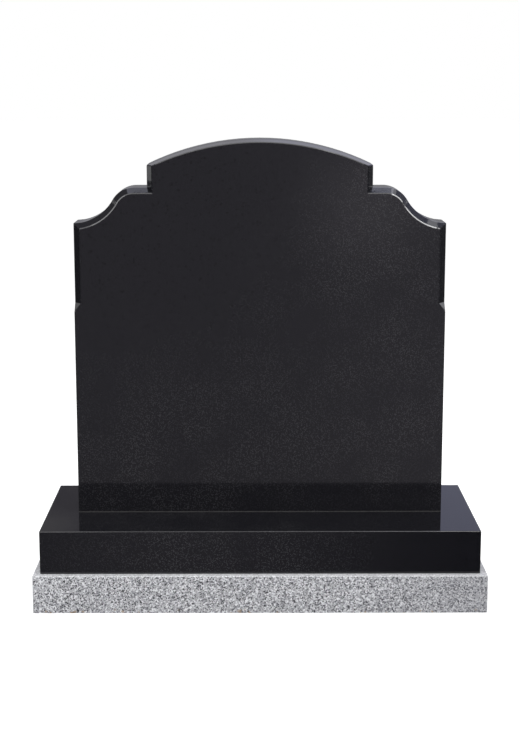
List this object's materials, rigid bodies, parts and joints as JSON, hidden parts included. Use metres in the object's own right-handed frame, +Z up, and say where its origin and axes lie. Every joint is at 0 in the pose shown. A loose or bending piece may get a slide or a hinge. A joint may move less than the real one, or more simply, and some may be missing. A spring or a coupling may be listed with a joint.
{
  "type": "headstone",
  "caption": "Upright memorial headstone: a blank tablet with a curved head and ogee shoulders, on a stepped base and a foundation slab.",
  "frame": {"origin": "centre of the foundation slab's underside", "axes": "+Z up, -Y out of the tablet's blank front face, +X to the right as one reads it"},
  "size_m": [0.7864, 0.3292, 0.8066],
  "materials": {
    "black_granite": "polished black granite with a faint fine speckle",
    "grey_granite": "fine-grained light grey granite, sawn and rubbed"
  },
  "bodies": {
    "root": {"tablet": "black_granite", "base": "black_granite", "foundation": "grey_granite"}
  },
  "joints": []
}
